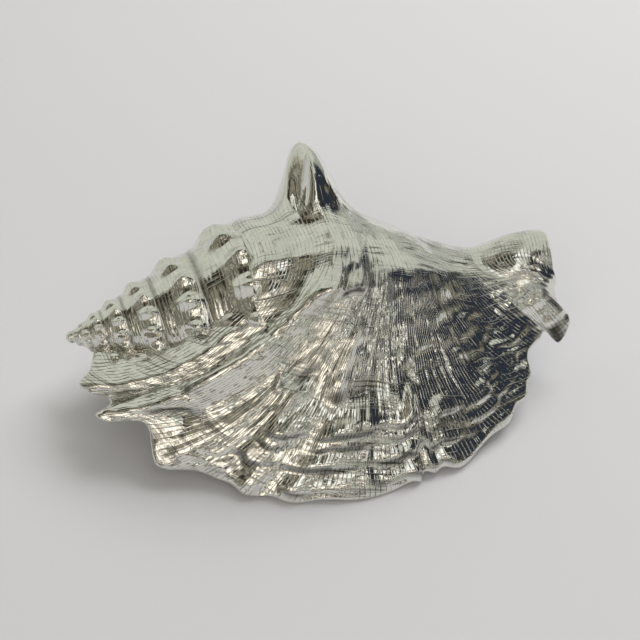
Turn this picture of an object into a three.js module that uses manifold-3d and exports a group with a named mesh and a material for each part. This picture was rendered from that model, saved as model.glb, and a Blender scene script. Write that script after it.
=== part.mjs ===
// A conch shell with a tall knobbed spire, one horn on its shoulder, a broad flared lip with
// three short lobes beside the spire, and an upturned siphonal canal. Millimetres, +Z up.
//
// The shell lies on the edge of its lip and on its belly. X runs from the apex to the canal,
// the lip spreads towards -Y, and the horn stands up on the far side of the top.
//
// The solid is the union of two closed bodies. One is the spire with the solid pillar that the
// whorls wind round. The other is the wall of the last whorl, a sheet that starts inside the
// mouth, winds once round the pillar and flares out to the lip.

import * as THREE from "three";
import { mergeVertices } from "three/addons/utils/BufferGeometryUtils.js";
import Module from "manifold-3d";

// ---- Driving dimensions ----
const SHELL_LENGTH = 168; // apex to canal
const UNIT = SHELL_LENGTH / 168; // every length below is for a shell 168 long
const WALL = 3.2; // wall thickness of the last whorl
const LIP_WALL = 2.4; // wall thickness at the edge of the lip
const AXIS_HEIGHT = 23; // the apex stands this high above the table
const AXIS_PITCH = THREE.MathUtils.degToRad(2.8); // the axis climbs from apex to canal
const WHORL_GROWTH = 1.48; // the last whorl grows this much in one turn
const SUTURE_GROWTH = 1.3; // beside the suture it follows the spire, which widens less
const SPIRE_GROWTH = 1.42; // each spire whorl is this much bigger than the one before
const SPIRE_START = 5; // the spiral's own origin lies this far beyond the tip
const KNOBS_PER_WHORL = 17;
const HORN_HEIGHT = 18.6;
const SECOND_KNOB_HEIGHT = 4.2;
const MOUTH_START = -300; // growth angle where the wall of the last whorl begins
const PILLAR_END = 134; // the pillar fades out at the root of the canal

// ---- Growth rays ----
// Each ray is one growth path across the last whorl, from its suture edge to the canal.
// along: where the ray crosses the body, measured from the apex. turn: the growth angle where
// it leaves the body and starts to flare. mid and lip: where it passes half way and ends.
const RAYS = [
  { along: 60, turn: 15, mid: [41, -18.6, 33.7], lip: [9, -4, 22.5] }, // edge inside the spire
  { along: 64.5, turn: 15, mid: [41, -21, 34.5], lip: [6.3, -15, 21.5] }, // crease beside it
  { along: 69, turn: 15, mid: [45, -28, 34.5], lip: [2.7, -21.4, 20] }, // first lobe
  { along: 79, turn: 15, mid: [50, -32, 33.5], lip: [11.5, -27, 17] },
  { along: 88, turn: 15, mid: [57, -36.5, 37.5], lip: [7, -33, 15.5] }, // second lobe
  { along: 90.5, turn: 15, mid: [60, -40, 29], lip: [21.5, -39, 16] },
  { along: 92.5, turn: 15, mid: [64, -43, 27], lip: [24, -48.5, 6] }, // third lobe
  { along: 94.5, turn: 15, mid: [70, -45, 28], lip: [38.6, -52.5, 4] },
  { along: 97, turn: 15, mid: [78, -46, 28], lip: [52.7, -61.6, 0.4] }, // front of the lip
  { along: 100, turn: 15, mid: [88, -47, 28], lip: [75.7, -69.1, 0] },
  { along: 104, turn: 15, mid: [101, -46, 26], lip: [102, -67.2, 0.2] },
  { along: 107, turn: 15, mid: [108, -45, 25], lip: [111, -63.4, 1.6] },
  { along: 110.5, turn: 15, mid: [115, -43, 24], lip: [122.7, -60.8, 0.8] },
  { along: 115, turn: 15, mid: [126, -37, 24], lip: [140, -48.5, 4] },
  { along: 120, turn: 17, mid: [134, -29, 24], lip: [151, -37, 9] },
  { along: 126, turn: 20, mid: [140, -22, 26], lip: [153.6, -27.8, 14] },
  { along: 132, turn: 22, mid: [147, -15.5, 29.3], lip: [161, -19, 16] }, // arched notch
  { along: 137, turn: 23.5, mid: [152.5, -14.3, 31.6], lip: [165.5, -21.5, 12.5] }, // tooth
  { along: 141.5, turn: 25, mid: [156, -13.6, 33.2], lip: [170, -18, 19] },
  { along: 147, turn: 27, mid: [158, -13, 34], lip: [166.5, -14.5, 24] }, // valley by the canal
  { along: 156, turn: 34, mid: [161.5, -12.5, 33.5], lip: [166, -11, 26] },
  { along: 165, turn: 66, mid: [165.5, -11, 32.5], lip: [166, -9, 27.5] }, // end of the canal
];
const LAST_RAY = RAYS.length - 1;
const SHOULDER = 88; // the shoulder of the last whorl, which carries the horn

// Radius of the last whorl against the distance from the apex.
const WHORL_PROFILE = [
  [56, 25], [60, 28], [62.5, 31.2], [66, 32], [74, 32.5], [82, 34.8], [SHOULDER, 36.5],
  [94, 34], [101, 30], [110, 25.5], [118, 20.6], [126, 15.4], [134, 11.4], [141, 9.4],
  [149, 10.2], [157, 10.8], [165, 10],
];

// ---- Small functions ----
const mix = (a, b, t) => a + (b - a) * t;
const bell = (x, width) => Math.exp(-((x / width) ** 2));
const fade = (from, to, x) => THREE.MathUtils.smoothstep(x, from, to);
const column = (key) => RAYS.map((ray) => ray[key]);

// The cubic Hermite curve between two numbers with their slopes.
function hermite(start, startSlope, end, endSlope, t) {
  const t2 = t * t;
  const t3 = t2 * t;
  const ends = (2 * t3 - 3 * t2 + 1) * start + (3 * t2 - 2 * t3) * end;
  return ends + (t3 - 2 * t2 + t) * startSlope + (t3 - t2) * endSlope;
}

// A smooth curve through evenly spaced numbers.
function through(values, at) {
  const last = values.length - 1;
  const i = Math.min(Math.max(Math.floor(at), 0), last - 1);
  const span = values[i + 1] - values[i];
  const before = i > 0 ? (values[i + 1] - values[i - 1]) / 2 : span;
  const after = i < last - 1 ? (values[i + 2] - values[i]) / 2 : span;
  return hermite(values[i], before, values[i + 1], after, at - i);
}

// A smooth curve through evenly spaced points.
function throughPoints(points, at) {
  const coordinate = (axis) => through(points.map((p) => p[axis]), at);
  return new THREE.Vector3(coordinate(0), coordinate(1), coordinate(2));
}

// A curve through a table of pairs that never swings past them.
function tableCurve(table, at) {
  const last = table.length - 1;
  const x = Math.min(Math.max(at, table[0][0]), table[last][0]);
  const slope = (i) => (table[i + 1][1] - table[i][1]) / (table[i + 1][0] - table[i][0]);
  const knotSlope = (i) => {
    if (i === 0) return slope(0);
    if (i === last) return slope(last - 1);
    const [a, b] = [slope(i - 1), slope(i)];
    return a * b > 0 ? (2 * a * b) / (a + b) : 0;
  };
  let i = 0;
  while (i < last - 1 && x >= table[i + 1][0]) i += 1;
  const width = table[i + 1][0] - table[i][0];
  const t = (x - table[i][0]) / width;
  return hermite(table[i][1], knotSlope(i) * width, table[i + 1][1], knotSlope(i + 1) * width, t);
}

// A point at a distance along the shell's axis, a radius and an angle in degrees:
// 0 is the top, 90 the lip side, 180 the belly and -90 the back.
function aroundAxis(along, radius, angle) {
  const turn = THREE.MathUtils.degToRad(angle);
  const up = radius * Math.cos(turn);
  return new THREE.Vector3(
    along * Math.cos(AXIS_PITCH) - up * Math.sin(AXIS_PITCH),
    -radius * Math.sin(turn),
    AXIS_HEIGHT + along * Math.sin(AXIS_PITCH) + up * Math.cos(AXIS_PITCH),
  );
}

// ---- Last whorl ----
// How much the spiral has grown at a growth angle, against the top of the last whorl.
const growth = (angle) => WHORL_GROWTH ** (angle / 360);

// Towards the canal the spiral stops growing lengthways, and the canal keeps its width.
function placeAlong(along, angle) {
  return along * mix(growth(angle), 1, fade(100, 145, along));
}

function wallRadius(along, angle) {
  const beside = SUTURE_GROWTH ** (angle / 360);
  const body = mix(beside, growth(angle), fade(62, 84, along));
  const size = mix(body, 1, 0.85 * fade(120, 155, along));
  const belly = 1 - 0.07 * bell(angle + 180, 60) * fade(66, 84, along);
  return tableCurve(WHORL_PROFILE, along) * size * belly;
}

// The horn: concave flanks, a rounded tip and a hollow down its growing side.
function hornHeight(along, angle) {
  const side = along - SHOULDER - 1.2;
  const ahead = angle + 24;
  const reach = Math.hypot(side / (side > 0 ? 14 : 12.6), ahead / (ahead > 0 ? 27 : 24));
  const growing = fade(1.5, 8, ahead) * (1 - fade(15, 22, ahead));
  const inside = Math.abs(side + 1.6 + 0.2 * ahead) / (2.2 + 1.6 * fade(1, 9, ahead));
  const hollow = 6.4 * Math.exp(-(inside ** 2.6)) * growing;
  return HORN_HEIGHT * Math.exp(-((reach / 0.72) ** 2.5)) - hollow;
}

// The lower knobs that the shoulder made before the horn.
function earlierKnobs(along, angle) {
  const ridge = bell(along - SHOULDER + 1, 6);
  const knobs = [[-62, 5], [-98, 4], [-134, 4.2]];
  return knobs.reduce((sum, [at, height]) => sum + height * ridge * bell(angle - at, 11), 0);
}

function bodyPoint(ray, angle) {
  const along = through(column("along"), ray);
  const relief = hornHeight(along, angle) + earlierKnobs(along, angle);
  const place = placeAlong(along, angle);
  const point = aroundAxis(place, wallRadius(along, angle) + relief, angle);
  point.z += 2 * fade(136, 160, place);
  return point;
}

// ---- Flared lip ----
function hermitePoint(start, startSlope, end, endSlope, t) {
  const axis = (key) => hermite(start[key], startSlope[key], end[key], endSlope[key], t);
  return new THREE.Vector3(axis("x"), axis("y"), axis("z"));
}

// A point of the flare: u is 0 where the ray leaves the body and 1 at the lip's edge.
function flarePoint(ray, u) {
  const turn = through(column("turn"), ray);
  const start = bodyPoint(ray, turn);
  const leaving = bodyPoint(ray, turn + 1).sub(bodyPoint(ray, turn - 1)).normalize();
  const mid = throughPoints(column("mid"), ray);
  const lip = throughPoints(column("lip"), ray);
  const first = mid.distanceTo(start);
  const second = lip.distanceTo(mid);
  const inward = mid.clone().sub(start).divideScalar(first);
  const outward = lip.clone().sub(mid).divideScalar(second);
  const passing = inward.clone().multiplyScalar(0.45).addScaledVector(outward, 0.55).normalize();
  const ending = outward.clone().multiplyScalar(1.9).addScaledVector(passing, -0.9).normalize();
  const half = first / (first + second);
  if (u < half) {
    const slopeIn = leaving.multiplyScalar(first * 1.2);
    return hermitePoint(start, slopeIn, mid, passing.multiplyScalar(first * 1.1), u / half);
  }
  const t = (u - half) / (1 - half);
  const slopeMid = passing.multiplyScalar(second * 1.1);
  return hermitePoint(mid, slopeMid, lip, ending.multiplyScalar(second), t);
}

// The whole sheet: stage runs from 0 inside the mouth to 1 where the flare starts, and on to 2
// at the edge of the lip.
function sheetBase(ray, stage) {
  if (stage > 1) return flarePoint(ray, Math.min(stage - 1, 1));
  const turn = through(column("turn"), ray);
  const start = MOUTH_START + 100 * fade(118, 142, through(column("along"), ray));
  return bodyPoint(ray, mix(start, turn, stage));
}

function sheetNormal(ray, stage) {
  const step = 0.01;
  const [r0, r1] = [Math.max(ray - step, 0), Math.min(ray + step, LAST_RAY)];
  const [s0, s1] = [Math.max(stage - step, 0), Math.min(stage + step, 2)];
  const across = sheetBase(r1, stage).sub(sheetBase(r0, stage));
  const onward = sheetBase(ray, s1).sub(sheetBase(ray, s0));
  return onward.cross(across).normalize();
}

// Ridges of the lobes, the small pointed knob and the keel that runs from it to the canal,
// which stand out along the surface's normal.
function sheetRelief(ray, stage) {
  const knob = SECOND_KNOB_HEIGHT * bell(ray - 4.4, 0.6) * bell(stage - 1.215, 0.055);
  const lobes = 1.2 * bell(ray - 2, 0.45) + 2 * bell(ray - 4, 0.4) + 1.2 * bell(ray - 6, 0.5);
  const keel = 1.5 * bell(stage - 1.155, 0.07) * fade(8.5, 10, ray) * (1 - fade(15, 17, ray));
  return knob + lobes * fade(1.25, 1.6, stage) + keel;
}

// Closes a grid of outer points and the matching inner points into one solid wall.
function wallGeometry(outer, inner) {
  const rows = outer.length;
  const columns = outer[0].length;
  const points = [...outer.flat(), ...inner.flat()];
  const outside = (i, j) => i * columns + j;
  const inside = (i, j) => rows * columns + i * columns + j;
  const faces = [];
  const quad = (a, b, c, d) => faces.push(a, b, c, a, c, d);
  for (let i = 0; i < rows - 1; i += 1) {
    for (let j = 0; j < columns - 1; j += 1) {
      quad(outside(i, j), outside(i + 1, j), outside(i + 1, j + 1), outside(i, j + 1));
      quad(inside(i, j), inside(i, j + 1), inside(i + 1, j + 1), inside(i + 1, j));
    }
    const j = columns - 1;
    quad(outside(i, 0), inside(i, 0), inside(i + 1, 0), outside(i + 1, 0));
    quad(outside(i, j), outside(i + 1, j), inside(i + 1, j), inside(i, j));
  }
  for (let j = 0; j < columns - 1; j += 1) {
    const i = rows - 1;
    quad(outside(0, j), outside(0, j + 1), inside(0, j + 1), inside(0, j));
    quad(outside(i, j), inside(i, j), inside(i, j + 1), outside(i, j + 1));
  }
  return indexedGeometry(points, faces);
}

function indexedGeometry(points, faces) {
  const geometry = new THREE.BufferGeometry();
  const numbers = points.flatMap((p) => [p.x, p.y, p.z]);
  geometry.setAttribute("position", new THREE.Float32BufferAttribute(numbers, 3));
  geometry.setIndex(faces);
  return geometry;
}

function lastWhorl() {
  const columns = 46;
  const stages = [];
  for (let i = 0; i < 8; i += 1) stages.push((0.75 * i) / 8);
  for (let i = 0; i < 9; i += 1) stages.push(0.75 + (0.25 * i) / 9);
  for (let i = 0; i <= 12; i += 1) stages.push(1 + i / 12);
  const outer = [];
  const inner = [];
  for (const stage of stages) {
    const outerRow = [];
    const innerRow = [];
    for (let j = 0; j < columns; j += 1) {
      const ray = (LAST_RAY * j) / (columns - 1);
      const base = sheetBase(ray, stage);
      const normal = sheetNormal(ray, stage);
      const wall = mix(WALL, LIP_WALL, fade(1.6, 2, stage));
      outerRow.push(base.clone().addScaledVector(normal, sheetRelief(ray, stage)));
      innerRow.push(base.addScaledVector(normal, -wall));
    }
    outer.push(outerRow);
    inner.push(innerRow);
  }
  return wallGeometry(outer, inner);
}

// ---- Spire and pillar ----
const sutureRadius = (along) => 0.93 * Math.max(along, 0.01) ** 0.851;
const BULB = 2.1; // radius of the smooth bulb at the very tip

function spireRadius(along, angle) {
  if (along < BULB) return Math.sqrt(Math.max(BULB ** 2 - (along - BULB) ** 2, 0));
  const turns = Math.log((along + SPIRE_START) / 51.3) / Math.log(SPIRE_GROWTH);
  const phase = turns - (angle - 19) / 360;
  const part = phase - Math.ceil(phase) + 1; // 0 at a whorl's upper suture, 1 at its lower one
  const knob = 0.5 + 0.5 * Math.cos(THREE.MathUtils.degToRad((angle - 15) * KNOBS_PER_WHORL));
  const behind = (1 - fade(-14, 12, angle)) * fade(-180, -120, angle);
  const peak = mix(0.66, 0.45, behind); // the shoulder sits higher on the back
  const rising = fade(peak - 0.36, peak, part);
  const falling = 1 - mix(1, 0.75, behind) * fade(peak, 1, part);
  const swell = (part < peak ? rising : falling) * mix(1, 0.8, behind);
  const seam = 0.5 * (bell(part, 0.04) + bell(1 - part, 0.04));
  const belly = bell(180 - Math.abs(angle), 65) * fade(25, 50, along);
  const size = sutureRadius(along) * (1 - 0.07 * belly);
  const bumps = 0.1 * bell(part - peak - 0.02, 0.19) * knob ** 2;
  const knobs = (0.06 * swell + bumps) * (1 - 0.8 * belly);
  const radius = size * (0.97 + knobs - 0.05 * seam);
  return Math.max(radius, BULB * (1 - fade(BULB, 4, along)));
}

// Where the last whorl begins to cover the spire.
function lastSuture(angle) {
  const turn = angle > 60 ? angle - 360 : angle;
  return Math.min(65.5 * SPIRE_GROWTH ** ((turn + 40) / 360) - SPIRE_START, 64);
}

// The radius of the last whorl's outside at a place along the axis.
function wallRadiusAt(place, angle) {
  let along = place;
  for (let i = 0; i < 8; i += 1) along = (along * place) / placeAlong(along, angle);
  return wallRadius(along, angle) + earlierKnobs(along, angle);
}

// Behind and below, the pillar fills the whorl as far as the wall. On the lip side of the top
// it is slim, which leaves the hollow of the mouth.
function pillarRadius(place, angle) {
  const turn = angle < 0 ? angle : angle - 360;
  const full = wallRadiusAt(place, turn) - 1.2;
  const slim = 0.72 * wallRadiusAt(place, MOUTH_START);
  const hollow = fade(-80, -50, angle) * (1 - fade(30, 52, angle));
  return mix(full, Math.min(slim, full), hollow) * (1 - fade(104, PILLAR_END, place));
}

function coreRadius(place, angle) {
  const covered = fade(0, 3, place - lastSuture(angle));
  if (covered === 0) return spireRadius(place, angle);
  return mix(spireRadius(Math.min(place, 66), angle), pillarRadius(place, angle), covered);
}

// A closed body swept round the axis, with one point at each end.
function sweptGeometry(radiusAt, places, columns) {
  const points = [aroundAxis(places[0], 0, 0), aroundAxis(places[places.length - 1], 0, 0)];
  const inner = places.slice(1, -1);
  for (const place of inner)
    for (let j = 0; j < columns; j += 1) {
      const angle = -180 + (360 * j) / columns;
      points.push(aroundAxis(place, radiusAt(place, angle), angle));
    }
  const at = (i, j) => 2 + i * columns + (j % columns);
  const faces = [];
  for (let j = 0; j < columns; j += 1) {
    faces.push(0, at(0, j + 1), at(0, j));
    faces.push(1, at(inner.length - 1, j), at(inner.length - 1, j + 1));
    for (let i = 0; i < inner.length - 1; i += 1) {
      faces.push(at(i, j), at(i + 1, j + 1), at(i + 1, j));
      faces.push(at(i, j), at(i, j + 1), at(i + 1, j + 1));
    }
  }
  return indexedGeometry(points, faces);
}

function spireAndPillar() {
  const places = [];
  for (let i = 0; i <= 34; i += 1) places.push(62 * (i / 34) ** 1.25);
  for (let i = 1; i <= 10; i += 1) places.push(62 + (PILLAR_END - 62) * (i / 10));
  return sweptGeometry(coreRadius, places, 45);
}

// ---- Joining ----
const wasm = await Module();
wasm.setup();

function solidOf(geometry) {
  const bare = geometry.clone();
  bare.deleteAttribute("normal");
  bare.deleteAttribute("uv");
  const merged = mergeVertices(bare, 1e-4);
  const mesh = new wasm.Mesh({
    numProp: 3,
    vertProperties: new Float32Array(merged.attributes.position.array),
    triVerts: new Uint32Array(merged.index.array),
  });
  return new wasm.Manifold(mesh);
}

// Keeps the largest connected surface, which fills any small pocket sealed between the bodies.
function outerSurface(faces, count) {
  const owner = Array.from({ length: count }, (_, i) => i);
  const rootOf = (i) => {
    let root = i;
    while (owner[root] !== root) root = owner[root];
    owner[i] = root;
    return root;
  };
  for (let i = 0; i < faces.length; i += 3) {
    owner[rootOf(faces[i])] = rootOf(faces[i + 1]);
    owner[rootOf(faces[i + 1])] = rootOf(faces[i + 2]);
  }
  const sizes = new Map();
  for (const corner of faces) sizes.set(rootOf(corner), (sizes.get(rootOf(corner)) ?? 0) + 1);
  const [largest] = [...sizes].sort((a, b) => b[1] - a[1])[0];
  return faces.filter((_, i) => rootOf(faces[i - (i % 3)]) === largest);
}

function geometryOf(solid) {
  const mesh = solid.getMesh();
  const geometry = new THREE.BufferGeometry();
  const points = new THREE.Float32BufferAttribute(mesh.vertProperties, 3);
  geometry.setAttribute("position", points);
  geometry.setIndex(outerSurface([...mesh.triVerts], points.count));
  geometry.computeVertexNormals();
  return geometry;
}

// Trims whatever reaches below the table, which leaves the flats that the shell rests on.
function tableBlock() {
  return new THREE.BoxGeometry(400, 400, 40).translate(80, 0, -20 + REST_TRIM);
}
const REST_TRIM = -0.8;

const joined = solidOf(spireAndPillar()).add(solidOf(lastWhorl()));
const trimmed = joined.subtract(solidOf(tableBlock()));

// Moves the shell so that its origin is the middle of its footprint, and scales it.
function placed(geometry) {
  geometry.computeBoundingBox();
  const box = geometry.boundingBox;
  const middle = box.getCenter(new THREE.Vector3());
  geometry.translate(-middle.x, -middle.y, -box.min.z);
  return geometry.scale(UNIT, UNIT, UNIT);
}

const silver = new THREE.MeshStandardMaterial({
  color: new THREE.Color(0.82, 0.82, 0.77),
  roughness: 0.16,
  metalness: 1,
});

const shell = new THREE.Mesh(placed(geometryOf(trimmed)), silver);
shell.name = "shell";

const group = new THREE.Group();
group.add(shell);

export default group;
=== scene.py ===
"""A silvered conch shell, lying on the edge of its flared lip and on its belly.

The shell is one piece: a knobbed spire with the pillar that the whorls wind round, joined to the
sheet of the last whorl, which winds once round the pillar and flares out into the lip. Lengths in
the shape classes are millimetres, with the apex at x = 0; ShellForm.in_frame turns them into the
frame's metres.
"""

import logging
import math
from dataclasses import dataclass, field
from enum import Enum

import bmesh
import bpy
import numpy as np
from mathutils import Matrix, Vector


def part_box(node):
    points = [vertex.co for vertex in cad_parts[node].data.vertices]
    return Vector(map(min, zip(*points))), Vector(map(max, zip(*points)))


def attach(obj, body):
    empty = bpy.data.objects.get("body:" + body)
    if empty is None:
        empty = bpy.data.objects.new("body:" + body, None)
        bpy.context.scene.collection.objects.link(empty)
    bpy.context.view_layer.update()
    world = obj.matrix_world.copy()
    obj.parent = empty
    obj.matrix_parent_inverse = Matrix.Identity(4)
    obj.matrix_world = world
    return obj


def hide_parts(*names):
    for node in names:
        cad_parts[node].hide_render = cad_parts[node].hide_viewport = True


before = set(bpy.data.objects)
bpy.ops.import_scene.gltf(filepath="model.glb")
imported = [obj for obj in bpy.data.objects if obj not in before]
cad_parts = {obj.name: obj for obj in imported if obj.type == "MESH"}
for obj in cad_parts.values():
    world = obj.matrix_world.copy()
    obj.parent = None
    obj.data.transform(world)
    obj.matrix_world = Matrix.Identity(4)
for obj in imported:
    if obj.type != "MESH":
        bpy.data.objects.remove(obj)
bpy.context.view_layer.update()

log = logging.getLogger("conch")
Array = np.ndarray


# ---- Curves and masks ----
def mix(low: Array, high: Array, share: Array) -> Array:
    """Blends two values: share 0 gives low and share 1 gives high."""
    return low + (high - low) * share


def bell(x: Array, width: float) -> Array:
    """A smooth bump that is 1 at x = 0 and falls away over width."""
    return np.exp(-((x / width) ** 2))


def fade(start: float, end: float, x: Array) -> Array:
    """Rises smoothly from 0 at start to 1 at end."""
    t = np.clip((x - start) / (end - start), 0, 1)
    return t * t * (3 - 2 * t)


def unit(vectors: Array) -> Array:
    """Scales each vector to length 1."""
    return vectors / np.linalg.norm(vectors, axis=-1, keepdims=True)


def hermite(start: Array, start_slope: Array, end: Array, end_slope: Array, t: Array) -> Array:
    """The cubic curve between two values with their slopes.

    Args:
        start: value at t = 0.
        start_slope: slope at t = 0.
        end: value at t = 1.
        end_slope: slope at t = 1.
        t: place on the curve.

    Returns:
        The value at t.
    """
    t2 = t * t
    t3 = t2 * t
    ends = (2 * t3 - 3 * t2 + 1) * start + (3 * t2 - 2 * t3) * end
    return ends + (t3 - 2 * t2 + t) * start_slope + (t3 - t2) * end_slope


def through(values: Array, at: Array) -> Array:
    """A smooth curve through evenly spaced values.

    Args:
        values: one number or one point per whole place.
        at: places to read, from 0 to the last value.

    Returns:
        The numbers or points at those places.
    """
    last = len(values) - 1
    i = np.clip(np.floor(at).astype(int), 0, last - 1)
    t = at - i
    first, final = i == 0, i == last - 1
    if values.ndim > 1:
        t, first, final = t[..., None], first[..., None], final[..., None]
    span = values[i + 1] - values[i]
    before = np.where(first, span, (values[i + 1] - values[np.maximum(i - 1, 0)]) / 2)
    after = np.where(final, span, (values[np.minimum(i + 2, last)] - values[i]) / 2)
    return hermite(values[i], before, values[i + 1], after, t)


def table_curve(table: tuple[tuple[float, float], ...], at: Array) -> Array:
    """A curve through a table of pairs that never swings past them.

    Args:
        table: (place, value) pairs in rising order of place.
        at: places to read; outside the table the end values hold.

    Returns:
        The values at those places.
    """
    places, values = (np.array(column, float) for column in zip(*table))
    slopes = np.diff(values) / np.diff(places)
    before, after = slopes[:-1], slopes[1:]
    safe_sum = np.where(before * after > 0, before + after, 1)
    inner = np.where(before * after > 0, 2 * before * after / safe_sum, 0)
    knots = np.concatenate([slopes[:1], inner, slopes[-1:]])
    x = np.clip(at, places[0], places[-1])
    i = np.clip(np.searchsorted(places, x, side="right") - 1, 0, len(places) - 2)
    width = places[i + 1] - places[i]
    t = (x - places[i]) / width
    return hermite(values[i], knots[i] * width, values[i + 1], knots[i + 1] * width, t)


def lip_waves(ray: Array) -> Array:
    """Phase of the uneven waves along the edge of the lip."""
    return 7.4 * ray + 1.2 * np.sin(2.3 * ray)


def past_suture(phase: Array) -> Array:
    """How far a place lies from one suture to the next, from 0 to 1."""
    return phase - np.ceil(phase) + 1


# ---- The form of the shell ----
@dataclass(frozen=True)
class Ray:
    """One growth path across the last whorl, from its suture edge to the canal.

    Fields: along is where it crosses the body, from the apex; turn is the growth angle where it
    starts to flare; mid and lip are points half way out and at the edge.
    """

    along: float
    turn: float
    mid: tuple[float, float, float]
    lip: tuple[float, float, float]


RAYS = (
    Ray(60, 15, (41, -18.6, 33.7), (9, -4, 22.5)),  # edge inside the spire
    Ray(64.5, 15, (41, -21, 34.5), (6.3, -15, 21.5)),  # crease beside it
    Ray(69, 15, (45, -28, 34.5), (2.7, -21.4, 20)),  # first lobe
    Ray(79, 15, (50, -32, 33.5), (11.5, -27, 17)),
    Ray(88, 15, (57, -36.5, 37.5), (7, -33, 15.5)),  # second lobe
    Ray(90.5, 15, (60, -40, 29), (21.5, -39, 16)),
    Ray(92.5, 15, (64, -43, 27), (24, -48.5, 6)),  # third lobe
    Ray(94.5, 15, (70, -45, 28), (38.6, -52.5, 4)),
    Ray(97, 15, (78, -46, 28), (52.7, -61.6, 0.4)),  # front of the lip
    Ray(100, 15, (88, -47, 28), (75.7, -69.1, 0)),
    Ray(104, 15, (101, -46, 26), (102, -67.2, 0.2)),
    Ray(107, 15, (108, -45, 25), (111, -63.4, 1.6)),
    Ray(110.5, 15, (115, -43, 24), (122.7, -60.8, 0.8)),
    Ray(115, 15, (126, -37, 24), (140, -48.5, 4)),
    Ray(120, 17, (134, -29, 24), (151, -37, 9)),
    Ray(126, 20, (140, -22, 26), (153.6, -27.8, 14)),
    Ray(132, 22, (147, -15.5, 29.3), (161, -19, 16)),  # arched notch
    Ray(137, 23.5, (152.5, -14.3, 31.6), (165.5, -21.5, 12.5)),  # tooth under it
    Ray(141.5, 25, (156, -13.6, 33.2), (170, -18, 19)),
    Ray(147, 27, (158, -13, 34), (166.5, -14.5, 24)),  # valley beside the canal
    Ray(156, 34, (161.5, -12.5, 33.5), (166, -11, 26)),
    Ray(165, 66, (165.5, -11, 32.5), (166, -9, 27.5)),  # end of the canal
)
BODY_LENGTH = 190.0  # millimetres of growth from the mouth to the start of the flare
SHOULDER = 88.0  # the shoulder of the last whorl, which carries the horn
WHORL_PROFILE = (
    (56, 25), (60, 28), (62.5, 31.2), (66, 32), (74, 32.5), (82, 34.8), (SHOULDER, 36.5),
    (94, 34), (101, 30), (110, 25.5), (118, 20.6), (126, 15.4), (134, 11.4), (141, 9.4),
    (149, 10.2), (157, 10.8), (165, 10),
)


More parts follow.
